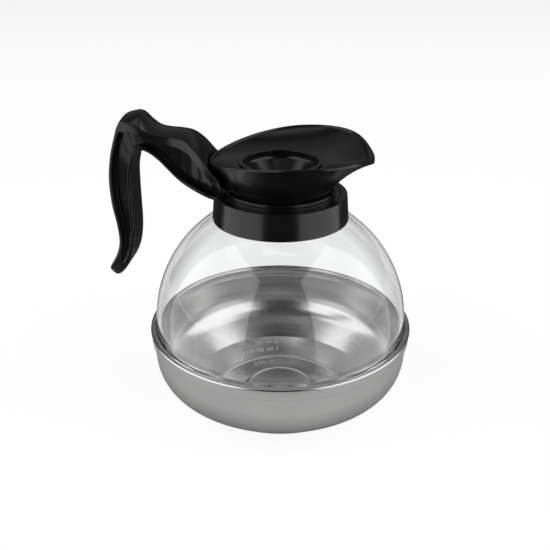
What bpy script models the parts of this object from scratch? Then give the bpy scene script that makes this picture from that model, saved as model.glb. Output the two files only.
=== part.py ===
"""A coffee decanter: a steel bowl, a clear dome sealed into its rim, a black neck collar
with a one-sided handle, and a lift-off pouring funnel.

Lengths in this file are millimetres and are turned into metres when a mesh is made.
Z = 0 is the surface that the decanter stands on. Radii are measured from the pot's axis,
which stands at AXIS_X, so that the origin is under the middle of the whole object.
+X points to the spout and -X to the handle.
"""

import math

import bmesh
import bpy

MM = 0.001
STEPS = 40
GAP = 0.3
EDGE = 0.5

# Driving sizes
RIM_Z = 56.2
BEAD_RADIUS = 81.8
HANDLE_REACH = 106.2
AXIS_X = (HANDLE_REACH - BEAD_RADIUS) / 2

# Steel bowl
SHEET = 0.8
WALL_RADIUS = 79.7
WALL_TOP_Z = 48.2
WALL_DEPTH = 40.4
WALL_SIDE_POWER = 3.24
WALL_BASE_POWER = 3.4
CONE_START_RADIUS = 69.0
FLOOR_RADIUS = 44.0
CONE_BEND_RADIUS = 57.5
CONE_BEND_Z = 8.8
CONE_LEAN = math.radians(36)
TOE = 3.0
WALL_STEP = math.radians(9)
DIMPLE_RADIUS = 22.0
DIMPLE_HEIGHT = 4.8
DIMPLE_FOOT = 3.4
DIMPLE_ROUND = 1.5
CURL = 1.1
BAND_RADIUS = 81.2
BEAD_DROP = 2.6
LEDGE_Z = 48.8

# Rim gasket
GASKET_LIP = 2.1

# Clear dome
DOME_RADIUS = 78.0
DOME_CENTRE_Z = 58.7
DOME_WALL = 2.4
FOOT_RADIUS = 79.5
FOOT_Z = 51.1
FOOT_STEP = 1.4
NECK_RADIUS = 33.4
NECK_FILLET = 4.0
NECK_TOP_Z = 138.5
SNAP_Z = 135.2
SNAP_HALF = 1.0
SNAP_PROUD = 0.5
NECK_BASE_Z = 126.0

# Collar and seat ring
COLLAR_BASE_RADIUS = 40.7
COLLAR_TOP_RADIUS = 39.4
COLLAR_TOP_Z = 141.6
COLLAR_CLEARANCE = 0.5
COLLAR_ROUND = 1.3
SEAT_FLANGE_RADIUS = 35.2
SEAT_DEPTH = 2.0
SEAT_FLUSH = 0.2
HUB_RADIUS = 32.8
HUB_BORE = 31.1
HUB_TOP_Z = 144.2

# Funnel
WAIST_RADIUS = 29.6
WAIST_Z = 144.2
SKIRT_END_Z = 131.7
GROOVE_LOW_Z = 134.0
GROOVE_HIGH_Z = 137.2
GROOVE_DEPTH = 1.4
RIM_HALF_WIDTH = 47.3
RIM_WIDEST_X = 8.0
RIM_REAR = 49.6
RIM_FRONT = 43.5
RIM_REAR_POWER = 1.55
RIM_FRONT_POWER = 3.0
RIM_LOW_Z = 160.8
RIM_HIGH_Z = 170.2
RIM_RISE_LENGTH = 70.0
RIM_RISE_POWER = 2.2
LIP_DEPTH = 1.0
LIP_WIDTH = 1.6
SPOUT_REACH = 2.6
SPOUT_SPREAD = math.radians(19)
SPOUT_DROP = 5.9
SPOUT_DROP_SPREAD = math.radians(25)
SPOUT_FACE = 1.7
SPOUT_FACE_SPREAD = math.radians(35)
FUNNEL_WALL = 1.8
THROAT_RADIUS = 23.4
THROAT_Z = 159.2
THROAT_END_Z = 151.2
THROAT_LEDGE = 1.3
DRIP_BORE = 13.2
DRIP_WALL = 1.3
DRIP_END_Z = 144.2
DRIP_SPIGOT = 2.8
DRIP_LIP = 1.4
DRIP_LIP_Z = 160.3
DRIP_KNEE_Z = 155.4

FUNNEL_SIDES = 48
FLARE_STEPS = 5

# Handle screws
SCREW_RADIUS = 1.3
SCREW_HEAD_RADIUS = 2.4
SCREW_CIRCLE = 37.3
SCREW_ANGLE = math.radians(9)
SCREW_HEAD_Z = 128.8
SCREW_HEAD_HEIGHT = 2.2
SCREW_SOCKET_RADIUS = 0.9
SCREW_SOCKET_DEPTH = 1.1
SCREW_TIP_Z = 149.7
SCREW_STEPS = 12
WELL_END_Z = 119.0

# Handle
HANDLE_CLEARANCE = 0.4
FUNNEL_CLEARANCE = 0.8
LIFT_ROOM = 30.0

for old in list(bpy.data.objects):
    bpy.data.objects.remove(old)

PARTS = bpy.data.collections.new("coffee_decanter")
CUTTERS = bpy.data.collections.new("cutters")
CUTTERS.hide_render = True
for group in (PARTS, CUTTERS):
    bpy.context.scene.collection.children.link(group)


def material(name, colour, roughness, metallic=0.0, transmission=0.0):
    made = bpy.data.materials.new(name)
    made.use_nodes = True
    shader = made.node_tree.nodes["Principled BSDF"]
    shader.inputs["Base Color"].default_value = (*colour, 1)
    shader.inputs["Roughness"].default_value = roughness
    shader.inputs["Metallic"].default_value = metallic
    shader.inputs["Transmission Weight"].default_value = transmission
    return made


STEEL = material("brushed_steel", (0.56, 0.56, 0.55), 0.28, metallic=1.0)
CLEAR = material("clear_polycarbonate", (0.93, 0.94, 0.94), 0.03, transmission=1.0)
BLACK = material("black_moulded_plastic", (0.012, 0.012, 0.013), 0.3)
SILICONE = material("grey_silicone", (0.55, 0.55, 0.54), 0.6)
ZINC = material("zinc_plated_steel", (0.62, 0.63, 0.65), 0.35, metallic=1.0)


def empty(name, location, parent=None):
    made = bpy.data.objects.new(name, None)
    made.location = location
    made.parent = parent
    PARTS.objects.link(made)
    return made


POT_AXIS = empty("pot_axis", (AXIS_X * MM, 0, 0))
FUNNEL_LIFT = empty("funnel_lift", (0, 0, 0), POT_AXIS)


def place(name, mesh, finish, parent=POT_AXIS):
    """An object on the pot's axis: a part if it has a finish, a cutter if it has none."""
    made = bpy.data.objects.new(name, mesh)
    made.parent = parent
    if finish:
        mesh.materials.append(finish)
        PARTS.objects.link(made)
    else:
        made.hide_render = True
        made.display_type = "WIRE"
        CUTTERS.objects.link(made)
    return made


def arc(centre, radius, start, end, count):
    """Points on an arc in the (radius, height) plane, from one angle in degrees to another."""
    points = []
    for i in range(count + 1):
        angle = math.radians(start + (end - start) * i / count)
        points.append((centre[0] + radius * math.cos(angle), centre[1] + radius * math.sin(angle)))
    return points


def turned(name, profile, finish, parent=POT_AXIS, steps=STEPS):
    """Turns a profile of (radius, height) about the axis. It runs down its outer side."""
    closed = all(radius > 0 for radius, _ in profile)
    points = [(radius * MM, 0, height * MM) for radius, height in profile]
    edges = [(i, i + 1) for i in range(len(points) - 1)]
    if closed:
        edges.append((len(points) - 1, 0))
    mesh = bpy.data.meshes.new(name)
    mesh.from_pydata(points, edges, [])
    made = place(name, mesh, finish, parent)
    screw = made.modifiers.new("turn", "SCREW")
    screw.axis = "Z"
    screw.angle = math.tau
    screw.steps = steps
    screw.render_steps = steps
    screw.use_merge_vertices = True
    screw.merge_threshold = 0.00001
    screw.use_smooth_shade = True
    return made


def loft(name, rings, finish, parent=POT_AXIS, wrap=False):
    """Skins a row of rings, each with as many points. The row closes on itself or is capped."""
    shape = bmesh.new()
    rows = [[shape.verts.new((x * MM, y * MM, z * MM)) for x, y, z in ring] for ring in rings]
    count = len(rows[0])
    last = len(rows) if wrap else len(rows) - 1
    for i in range(last):
        lower = rows[i]
        upper = rows[(i + 1) % len(rows)]
        for j in range(count):
            k = (j + 1) % count
            shape.faces.new((lower[j], lower[k], upper[k], upper[j]))
    if not wrap:
        shape.faces.new(rows[0])
        shape.faces.new(rows[-1])
    bmesh.ops.recalc_face_normals(shape, faces=shape.faces)
    mesh = bpy.data.meshes.new(name)
    shape.to_mesh(mesh)
    shape.free()
    mesh.shade_smooth()
    mesh.set_sharp_from_angle(angle=math.radians(40))
    return place(name, mesh, finish, parent)


def cut(target, cutter):
    made = target.modifiers.new("cut_" + cutter.name, "BOOLEAN")
    made.operation = "DIFFERENCE"
    made.solver = "EXACT"
    made.object = cutter


def bowl_wall(offset):
    """The wall from the ledge down to the floor, offset inwards by a sheet thickness."""
    points = []
    turn = 0.0
    while True:
        radius = WALL_RADIUS * math.cos(turn) ** (2 / WALL_SIDE_POWER)
        if radius < CONE_START_RADIUS:
            break
        depth = WALL_DEPTH * math.sin(turn) ** (2 / WALL_BASE_POWER)
        points.append((radius - offset * math.cos(turn), WALL_TOP_Z - depth + offset * math.sin(turn)))
        turn += WALL_STEP
    bend_radius = CONE_BEND_RADIUS - offset * math.sin(CONE_LEAN)
    bend_z = CONE_BEND_Z + offset * math.cos(CONE_LEAN)
    slope = math.atan2(bend_z - offset, bend_radius - FLOOR_RADIUS)
    toe = FLOOR_RADIUS - offset * math.tan(slope / 2)
    points += [(bend_radius, bend_z), (toe + TOE, offset + 0.6 * TOE * math.tan(slope))]
    points += [(toe, offset + 0.35), (toe - TOE, offset)]
    return points


def dimple(offset):
    """The raised middle of the floor, from its foot in to its edge."""
    foot = DIMPLE_RADIUS + DIMPLE_FOOT
    top = offset + DIMPLE_HEIGHT
    return [
        (foot, offset),
        (foot - DIMPLE_ROUND, offset + EDGE),
        (DIMPLE_RADIUS, top - DIMPLE_ROUND / 2),
        (DIMPLE_RADIUS - DIMPLE_ROUND, top),
    ]


def build_bowl():
    inside = [(0, DIMPLE_HEIGHT + SHEET)]
    inside += dimple(SHEET)[::-1]
    inside += bowl_wall(SHEET)[::-1]
    ledge = LEDGE_Z + SHEET
    band_inner = BAND_RADIUS - SHEET
    rim = [(WALL_RADIUS - SHEET, ledge - GAP), (WALL_RADIUS, ledge), (band_inner - EDGE, ledge)]
    rim += [(band_inner, ledge + EDGE), (band_inner, RIM_Z - BEAD_DROP)]
    rim += arc((BEAD_RADIUS - CURL, RIM_Z - CURL), CURL, 190, -20, 5)
    rim += [(BAND_RADIUS, RIM_Z - BEAD_DROP), (BAND_RADIUS, LEDGE_Z + EDGE), (BAND_RADIUS - EDGE, LEDGE_Z)]
    rim += [(WALL_RADIUS + EDGE, LEDGE_Z)]
    outside = bowl_wall(0) + dimple(0) + [(0, DIMPLE_HEIGHT)]
    turned("steel_bowl", inside + rim + outside, STEEL)


def build_rim_gasket():
    floor = LEDGE_Z + SHEET + GAP
    outer = BAND_RADIUS - SHEET - GAP
    top = RIM_Z - BEAD_DROP
    lip = FOOT_RADIUS - GASKET_LIP
    profile = [(outer, top), (outer, floor), (lip, floor), (lip, FOOT_Z - GAP)]
    profile += [(FOOT_RADIUS + GAP, FOOT_Z - GAP), (FOOT_RADIUS + GAP, top)]
    turned("rim_gasket", profile, SILICONE)


def build_dome():
    fillet_radius = NECK_RADIUS + NECK_FILLET
    reach = DOME_RADIUS + NECK_FILLET
    fillet_z = DOME_CENTRE_Z + math.sqrt(reach**2 - fillet_radius**2)
    lean = math.degrees(math.atan2(fillet_z - DOME_CENTRE_Z, fillet_radius))
    centre = (0, DOME_CENTRE_Z)
    fillet_centre = (fillet_radius, fillet_z)
    inner_radius = DOME_RADIUS - DOME_WALL
    neck_bore = NECK_RADIUS - DOME_WALL
    outside = [(NECK_RADIUS - EDGE, NECK_TOP_Z), (NECK_RADIUS, NECK_TOP_Z - EDGE)]
    outside += [(NECK_RADIUS, SNAP_Z + SNAP_HALF), (NECK_RADIUS + SNAP_PROUD, SNAP_Z)]
    outside += [(NECK_RADIUS, SNAP_Z - SNAP_HALF)]
    outside += arc(fillet_centre, NECK_FILLET, 180, 180 + lean, 3)
    outside += arc(centre, DOME_RADIUS, lean, 0, 9)[1:]
    outside += [(FOOT_RADIUS - 0.8, DOME_CENTRE_Z - FOOT_STEP), (FOOT_RADIUS, DOME_CENTRE_Z - FOOT_STEP - 1)]
    foot = [(FOOT_RADIUS, FOOT_Z + EDGE), (FOOT_RADIUS - EDGE, FOOT_Z)]
    foot += [(inner_radius + 0.8, FOOT_Z), (inner_radius + 0.3, FOOT_Z + EDGE)]
    inside = arc(centre, inner_radius, 0, lean, 9)
    inside += arc(fillet_centre, NECK_FILLET + DOME_WALL, 180 + lean, 180, 3)[1:]
    inside += [(neck_bore, NECK_TOP_Z - EDGE), (neck_bore + EDGE, NECK_TOP_Z)]
    turned("clear_dome", outside + foot + inside, CLEAR)
    return fillet_centre, lean


def build_collar(fillet_centre, lean):
    bore = NECK_RADIUS + GAP
    counterbore = SEAT_FLANGE_RADIUS + GAP
    seat_z = COLLAR_TOP_Z - SEAT_DEPTH
    clear = COLLAR_CLEARANCE
    base_z = DOME_CENTRE_Z + math.sqrt((DOME_RADIUS + clear) ** 2 - COLLAR_BASE_RADIUS**2)
    outside = [(COLLAR_TOP_RADIUS - COLLAR_ROUND, COLLAR_TOP_Z)]
    outside += [(COLLAR_TOP_RADIUS - 0.3 * COLLAR_ROUND, COLLAR_TOP_Z - 0.3 * COLLAR_ROUND)]
    outside += [(COLLAR_TOP_RADIUS, COLLAR_TOP_Z - COLLAR_ROUND), (COLLAR_BASE_RADIUS, base_z + EDGE)]
    end = math.degrees(math.atan2(base_z - DOME_CENTRE_Z, COLLAR_BASE_RADIUS))
    under = arc((0, DOME_CENTRE_Z), DOME_RADIUS + clear, end + 0.3, lean, 3)
    under += arc(fillet_centre, NECK_FILLET - clear, 180 + lean, 180, 3)[1:]
    groove = bore + SNAP_PROUD
    reach = SNAP_HALF + 0.6
    inside = [(bore, SNAP_Z - reach), (groove, SNAP_Z - SNAP_HALF / 2), (groove, SNAP_Z + SNAP_HALF / 2)]
    inside += [(bore, SNAP_Z + reach), (bore, seat_z), (counterbore, seat_z), (counterbore, COLLAR_TOP_Z)]
    return turned("neck_collar", outside + under + inside, BLACK)


def build_neck_seal():
    top = COLLAR_TOP_Z - SEAT_DEPTH
    base = NECK_TOP_Z + GAP
    outer = NECK_RADIUS - 0.2
    inner = NECK_RADIUS - DOME_WALL + 0.1
    profile = [(outer, top), (outer, base), (inner, base), (inner, top)]
    turned("neck_seal", profile, SILICONE)


def build_seat_ring():
    base = COLLAR_TOP_Z - SEAT_DEPTH + GAP
    top = COLLAR_TOP_Z - SEAT_FLUSH
    profile = [(HUB_RADIUS - EDGE, HUB_TOP_Z), (HUB_RADIUS, HUB_TOP_Z - EDGE), (HUB_RADIUS, top)]
    profile += [(SEAT_FLANGE_RADIUS, top), (SEAT_FLANGE_RADIUS, base), (HUB_BORE, base)]
    profile += [(HUB_BORE, HUB_TOP_Z - EDGE), (HUB_BORE + EDGE, HUB_TOP_Z)]
    turned("seat_ring", profile, BLACK)


def rim_radius(angle):
    """Where the rim's egg-shaped outline meets a ray from the axis, with the spout's beak."""
    low = WAIST_RADIUS
    high = RIM_REAR + RIM_HALF_WIDTH
    for _ in range(40):
        radius = (low + high) / 2
        along = radius * math.cos(angle) - RIM_WIDEST_X
        across = radius * math.sin(angle) / RIM_HALF_WIDTH
        if along < 0:
            reach = (-along / RIM_REAR) ** RIM_REAR_POWER
        else:
            reach = (along / RIM_FRONT) ** RIM_FRONT_POWER
        if reach + across**2 > 1:
            high = radius
        else:
            low = radius
    return low + SPOUT_REACH * bell(angle, SPOUT_SPREAD)


def bell(angle, spread):
    """1 at the spout, falling away on both sides of it."""
    return math.exp(-((angle / spread) ** 2))


def rim_height(angle):
    along = rim_radius(angle) * math.cos(angle)
    rise = min(1.0, (along + RIM_REAR - RIM_WIDEST_X) / RIM_RISE_LENGTH)
    height = RIM_LOW_Z + (RIM_HIGH_Z - RIM_LOW_Z) * (1 - (1 - rise) ** RIM_RISE_POWER)
    return height - SPOUT_DROP * bell(angle, SPOUT_DROP_SPREAD)


def bend(start, control, end, count):
    """Points on a quadratic curve, without its first point."""
    points = []
    for i in range(1, count + 1):
        t = i / count
        a, b, c = (1 - t) ** 2, 2 * t * (1 - t), t**2
        points.append(tuple(a * s + b * m + c * e for s, m, e in zip(start, control, end)))
    return points


def flare(angle, inset):
    """The funnel's outer side from its waist up to its rim, moved inwards by inset."""
    radius = rim_radius(angle) - inset
    height = rim_height(angle) - LIP_DEPTH - SPOUT_FACE * bell(angle, SPOUT_FACE_SPREAD)
    waist = (WAIST_RADIUS - inset, WAIST_Z)
    control_radius = waist[0] + 0.42 * (radius - waist[0])
    control_height = WAIST_Z + (0.62 + 0.1 * math.cos(angle)) * (height - WAIST_Z)
    return [waist] + bend(waist, (control_radius, control_height), (radius, height), FLARE_STEPS)


def funnel_section(angle):
    """The funnel's wall in the half-plane at one angle: skirt, flare, rim, dish, throat, hollow."""
    radius = rim_radius(angle)
    height = rim_height(angle)
    skirt = [(WAIST_RADIUS - EDGE, SKIRT_END_Z), (WAIST_RADIUS, SKIRT_END_Z + EDGE)]
    groove = WAIST_RADIUS - GROOVE_DEPTH
    skirt += [(WAIST_RADIUS, GROOVE_LOW_Z), (groove, GROOVE_LOW_Z), (groove, GROOVE_HIGH_Z)]
    skirt += [(WAIST_RADIUS, GROOVE_HIGH_Z)]
    outside = flare(angle, 0)
    rim = [(radius - 0.2 * LIP_WIDTH, height - 0.2 * LIP_WIDTH), (radius - 0.6 * LIP_WIDTH, height)]
    rim += [(radius - LIP_WIDTH, height - 0.25 * LIP_WIDTH)]
    start = rim[-1]
    throat = (THROAT_RADIUS + THROAT_LEDGE, THROAT_Z - 0.1)
    control = (throat[0] + 0.55 * (start[0] - throat[0]), throat[1] + 0.12 * (start[1] - throat[1]))
    dish = bend(start, control, throat, 5)
    neck = [(THROAT_RADIUS, THROAT_Z - 0.1), (THROAT_RADIUS, THROAT_END_Z)]
    neck += [(THROAT_RADIUS + FUNNEL_WALL, THROAT_END_Z), (THROAT_RADIUS + FUNNEL_WALL, THROAT_Z - 3.0)]
    under_end = flare(angle, FUNNEL_WALL)
    hollow = [under_end[3], under_end[1], under_end[0]]
    hollow += [(groove - FUNNEL_WALL, GROOVE_HIGH_Z + 1.5), (groove - FUNNEL_WALL, SKIRT_END_Z)]
    return skirt + outside + rim + dish + neck + hollow


def funnel_angles():
    return [math.tau * (i + 0.5) / FUNNEL_SIDES - math.pi for i in range(FUNNEL_SIDES)]


def around(angle, section):
    return [(r * math.cos(angle), r * math.sin(angle), z) for r, z in section]


def build_funnel():
    rings = [around(angle, funnel_section(angle)) for angle in funnel_angles()]
    return loft("pouring_funnel", rings, BLACK, FUNNEL_LIFT, wrap=True)


def build_drip_cone():
    """The insert that hangs in the throat by its lip and narrows to the drip hole."""
    outer = THROAT_RADIUS - GAP
    inner = outer - DRIP_WALL
    spigot = DRIP_BORE + DRIP_WALL
    spigot_z = DRIP_END_Z + DRIP_SPIGOT
    lip = [(outer + DRIP_LIP - EDGE, DRIP_LIP_Z), (outer + DRIP_LIP, DRIP_LIP_Z - EDGE)]
    body = [(outer + DRIP_LIP, THROAT_Z + 0.2), (outer, THROAT_Z + 0.2), (outer, DRIP_KNEE_Z)]
    body += [(spigot, spigot_z), (spigot, DRIP_END_Z), (DRIP_BORE, DRIP_END_Z), (DRIP_BORE, spigot_z + 0.8)]
    mouth = [(inner, DRIP_KNEE_Z + EDGE), (inner, DRIP_LIP_Z - EDGE), (inner + EDGE, DRIP_LIP_Z)]
    turned("drip_cone", lip + body + mouth, BLACK, FUNNEL_LIFT)


def build_funnel_seal():
    inner = WAIST_RADIUS - GROOVE_DEPTH + GAP
    outer = NECK_RADIUS - DOME_WALL - GAP
    low = GROOVE_LOW_Z + GAP
    high = GROOVE_HIGH_Z - GAP
    profile = [(outer - EDGE, high), (outer, high - EDGE), (outer, low + EDGE), (outer - EDGE, low)]
    profile += [(inner, low), (inner, high)]
    turned("funnel_seal", profile, SILICONE, FUNNEL_LIFT)


# The handle's stations from the root to the tip: the under or inner point, the top or back
# point (distance from the axis, height), the half widths there, the crown of the top, the side
# pocket's start and end (parts of the thickness, from the inner side) and half the web's width.
STATIONS = [
    ((-31.0, 139.7), (-33.5, 153.2), 15.0, 20.0, 1.0, 0.16, 0.50, 8.8),
    ((-38.5, 139.4), (-40.8, 160.8), 14.0, 18.4, 1.5, 0.12, 0.60, 8.4),
    ((-46.0, 142.2), (-46.8, 168.4), 13.0, 16.2, 2.2, 0.10, 0.70, 7.2),
    ((-52.5, 145.6), (-52.4, 173.2), 12.2, 13.8, 2.8, 0.09, 0.76, 6.6),
    ((-58.2, 149.6), (-58.6, 174.8), 11.8, 12.4, 2.8, 0.09, 0.79, 6.4),
    ((-63.4, 154.8), (-64.6, 175.4), 11.7, 11.8, 2.6, 0.10, 0.78, 6.3),
    ((-69.4, 161.2), (-71.0, 176.4), 11.8, 12.0, 3.0, 0.13, 0.72, 6.3),
    ((-74.6, 165.4), (-75.8, 178.6), 12.0, 12.6, 5.0, 0.14, 0.64, 6.3),
    ((-78.6, 167.0), (-79.8, 180.9), 12.0, 13.4, 7.0, 0.14, 0.58, 6.3),
    ((-82.0, 166.2), (-85.2, 182.8), 12.0, 13.2, 4.4, 0.13, 0.68, 6.2),
    ((-84.4, 163.8), (-90.2, 183.4), 11.8, 12.4, 1.6, 0.13, 0.70, 6.0),
    ((-85.2, 161.6), (-92.9, 179.8), 11.6, 11.8, 0.8, 0.13, 0.86, 5.8),
    ((-85.6, 159.4), (-94.4, 175.8), 11.5, 11.5, 0.6, 0.13, 0.88, 5.6),
    ((-87.0, 152.2), (-98.2, 163.2), 11.2, 11.2, 0.6, 0.14, 0.87, 5.2),
    ((-87.4, 141.7), (-100.3, 149.2), 11.2, 11.2, 0.6, 0.15, 0.86, 5.2),
    ((-87.5, 129.2), (-100.0, 134.2), 11.2, 11.2, 0.6, 0.16, 0.85, 5.2),
    ((-87.6, 117.7), (-98.0, 120.7), 11.2, 11.2, 0.6, 0.18, 0.83, 6.2),
    ((-88.4, 108.4), (-97.4, 110.4), 11.0, 11.0, 0.6, 0.22, 0.80, 7.6),
    ((-90.2, 100.4), (-98.8, 103.4), 10.8, 10.8, 0.6, 0.26, 0.76, 9.3),
    ((-93.4, 93.6), (-101.6, 97.2), 10.4, 10.4, 0.5, 0.30, 0.70, 10.4),
    ((-97.6, 88.2), (-104.6, 92.4), 9.4, 9.4, 0.4, 0.30, 0.70, 9.4),
    ((-101.2, 85.7), (-105.8, 89.6), 7.6, 7.6, 0.3, 0.30, 0.70, 7.6),
    ((-103.6, 85.4), (-105.7, 87.4), 5.4, 5.4, 0.2, 0.30, 0.70, 5.4),
]


def handle_section(station):
    """One cross-section: a flat inner face, side pockets between two lips, a crowned back."""
    inner, outer, inner_half, outer_half, crown, start, end, web = station
    thickness = math.dist(inner, outer)
    corner = min(1.2, thickness / 4)
    edge = corner / thickness
    slope = min(0.6 / thickness, (end - start) / 3)

    def half(along, inset=0.0):
        return inner_half + along * (outer_half - inner_half) - inset

    left = [(0, inner_half * 0.55), (0, half(0, corner)), (edge * 0.3, half(edge * 0.3, corner * 0.3))]
    left += [(edge, half(edge)), (start, half(start)), (start + slope, web), (end - slope, web)]
    left += [(end, half(end)), (1 - edge, half(1 - edge)), (1 - edge * 0.3, half(1, corner * 0.3))]
    left += [(1, half(1, corner)), (1 + 0.75 * crown / thickness, outer_half * 0.5)]
    right = [(along, -across) for along, across in left]
    section = [(0, 0)] + left + [(1 + crown / thickness, 0)] + right[::-1]
    ring = []
    for along, across in section:
        x = inner[0] + along * (outer[0] - inner[0])
        z = inner[1] + along * (outer[1] - inner[1])
        ring.append((x, across, z))
    return ring


def build_handle():
    rings = [handle_section(station) for station in STATIONS]
    handle = loft("handle", rings, BLACK)
    rows = [[(angle, r + FUNNEL_CLEARANCE, z) for r, z in flare(angle, 0)] for angle in funnel_angles()]
    levels = [[row[k] for row in rows] for k in range(FLARE_STEPS + 1)]
    base = [(angle, r, COLLAR_TOP_Z) for angle, r, _ in levels[0]]
    top = [(angle, r, RIM_HIGH_Z + LIFT_ROOM) for angle, r, _ in levels[-1]]
    funnel_rings = []
    for level in [base] + levels + [top]:
        funnel_rings.append([(r * math.cos(a), r * math.sin(a), z) for a, r, z in level])
    cut(handle, loft("funnel_room", funnel_rings, None))
    clear = HANDLE_CLEARANCE
    top = COLLAR_TOP_Z + clear
    hub = HUB_RADIUS + clear
    room = [(0, HUB_TOP_Z + clear), (hub, HUB_TOP_Z + clear), (hub, top)]
    room += [(COLLAR_TOP_RADIUS - COLLAR_ROUND, top), (COLLAR_TOP_RADIUS + clear / 2, COLLAR_TOP_Z)]
    room += [(COLLAR_TOP_RADIUS + clear, COLLAR_TOP_Z - COLLAR_ROUND)]
    room += [(COLLAR_BASE_RADIUS + clear, NECK_BASE_Z), (0, NECK_BASE_Z)]
    cut(handle, turned("collar_room", room, None))
    return handle


def build_screws(collar, handle):
    """Two screws that rise from the collar's underside into the handle's root."""
    for name, side in (("left", 1), ("right", -1)):
        angle = math.pi - side * SCREW_ANGLE
        spot = (SCREW_CIRCLE * math.cos(angle) * MM, SCREW_CIRCLE * math.sin(angle) * MM, 0)
        head_top = SCREW_HEAD_Z + SCREW_HEAD_HEIGHT
        socket_z = SCREW_HEAD_Z + SCREW_SOCKET_DEPTH
        profile = [(0, SCREW_TIP_Z), (SCREW_RADIUS / 2, SCREW_TIP_Z - EDGE), (SCREW_RADIUS, SCREW_TIP_Z - 2)]
        profile += [(SCREW_RADIUS, head_top), (SCREW_HEAD_RADIUS, head_top)]
        profile += [(SCREW_HEAD_RADIUS, SCREW_HEAD_Z + EDGE), (SCREW_HEAD_RADIUS - EDGE, SCREW_HEAD_Z)]
        profile += [(SCREW_SOCKET_RADIUS, SCREW_HEAD_Z), (SCREW_SOCKET_RADIUS - GAP, socket_z), (0, socket_z)]
        screw = turned("handle_screw_" + name, profile, ZINC, steps=SCREW_STEPS)
        bore = SCREW_RADIUS + GAP
        well = SCREW_HEAD_RADIUS + GAP
        room = [(0, SCREW_TIP_Z + GAP), (bore, SCREW_TIP_Z + GAP), (bore, head_top + GAP)]
        room += [(well, head_top + GAP), (well, WELL_END_Z), (0, WELL_END_Z)]
        hole = turned("screw_room_" + name, room, None, steps=SCREW_STEPS)
        for placed in (screw, hole):
            placed.location = spot
        cut(collar, hole)
        cut(handle, hole)


build_bowl()
build_rim_gasket()
neck_fillet, neck_lean = build_dome()
neck_collar = build_collar(neck_fillet, neck_lean)
build_neck_seal()
build_seat_ring()
grip = build_handle()
build_screws(neck_collar, grip)
build_funnel()
build_drip_cone()
build_funnel_seal()
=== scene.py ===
"""The looks of the coffee decanter: its finished surfaces, materials, lights and camera.

Lengths are millimetres, as in the design, and become metres when a mesh is made. Only the
lengths of the studio and the materials are metres. Radii are measured from the pot's axis,
heights from the surface it stands on, and an angle of 0 points to the spout.
"""

import math

import bmesh
import bpy
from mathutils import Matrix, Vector


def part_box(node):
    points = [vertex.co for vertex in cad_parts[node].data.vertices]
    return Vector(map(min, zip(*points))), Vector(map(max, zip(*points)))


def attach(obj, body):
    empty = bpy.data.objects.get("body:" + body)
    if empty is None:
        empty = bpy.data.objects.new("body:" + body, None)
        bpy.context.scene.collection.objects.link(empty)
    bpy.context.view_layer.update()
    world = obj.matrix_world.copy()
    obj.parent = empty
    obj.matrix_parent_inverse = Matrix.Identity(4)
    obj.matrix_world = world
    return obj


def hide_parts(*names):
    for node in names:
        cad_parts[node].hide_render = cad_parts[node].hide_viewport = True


MM = 0.001
STEPS = 160
DOME_STEPS = 192
SCREW_STEPS = 24
DISC_STEPS = 96
SHARP = 38

# Fillets: the share of an edge that one may take, the smallest one, and the half angle in
# radians from which a corner counts as straight
FILLET_SHARE = 0.49
LEAST_FILLET = 0.05
NEARLY_STRAIGHT = 1.57

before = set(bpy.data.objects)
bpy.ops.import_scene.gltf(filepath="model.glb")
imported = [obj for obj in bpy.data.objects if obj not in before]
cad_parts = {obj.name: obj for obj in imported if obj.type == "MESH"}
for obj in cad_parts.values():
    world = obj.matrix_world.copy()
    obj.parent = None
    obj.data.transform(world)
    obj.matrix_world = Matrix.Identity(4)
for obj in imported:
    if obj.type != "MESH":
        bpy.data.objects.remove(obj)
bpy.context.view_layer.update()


def span(node):
    """A round node's radius, lowest and highest height, in millimetres."""
    low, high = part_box(node)
    return (high.y - low.y) / 2 / MM, low.z / MM, high.z / MM


bowl_low, bowl_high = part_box("steel_bowl")
AXIS = Vector(((bowl_low.x + bowl_high.x) / 2, 0, 0))
BEAD_RADIUS, _, RIM_Z = span("steel_bowl")
FOOT_RADIUS, FOOT_Z, NECK_TOP_Z = span("clear_dome")
COLLAR_BASE_RADIUS, _, COLLAR_TOP_Z = span("neck_collar")
SEAT_FLANGE_RADIUS, SEAT_BASE_Z, HUB_TOP_Z = span("seat_ring")
_, SKIRT_END_Z, _ = span("pouring_funnel")
_, DRIP_END_Z, LIP_TOP_Z = span("drip_cone")
SCREWS = ("handle_screw_left", "handle_screw_right")

# Room between pieces that don't touch
GAP = 0.3

# Steel bowl
SHEET = 0.8
WALL_RADIUS = 79.7
WALL_TOP_Z = RIM_Z - 8.0
WALL_DEPTH = 40.4
WALL_SIDE_POWER = 3.24
WALL_BASE_POWER = 3.4
WALL_STEP = math.radians(2.25)
CONE_START_RADIUS = 69.0
CONE_BEND = (57.5, 8.8)
CONE_BEND_ROUND = 9.0
CONE_BEND_NORMAL = (0.59, 0.81)
FLOOR_RADIUS = 44.0
FLOOR_ROUND = 3.2
DIMPLE_RADIUS = 22.0
DIMPLE_HEIGHT = 4.8
DIMPLE_FLANK = 2.2
CURL = 1.1
BAND_RADIUS = 81.2
LEDGE_Z = RIM_Z - 7.4

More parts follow.
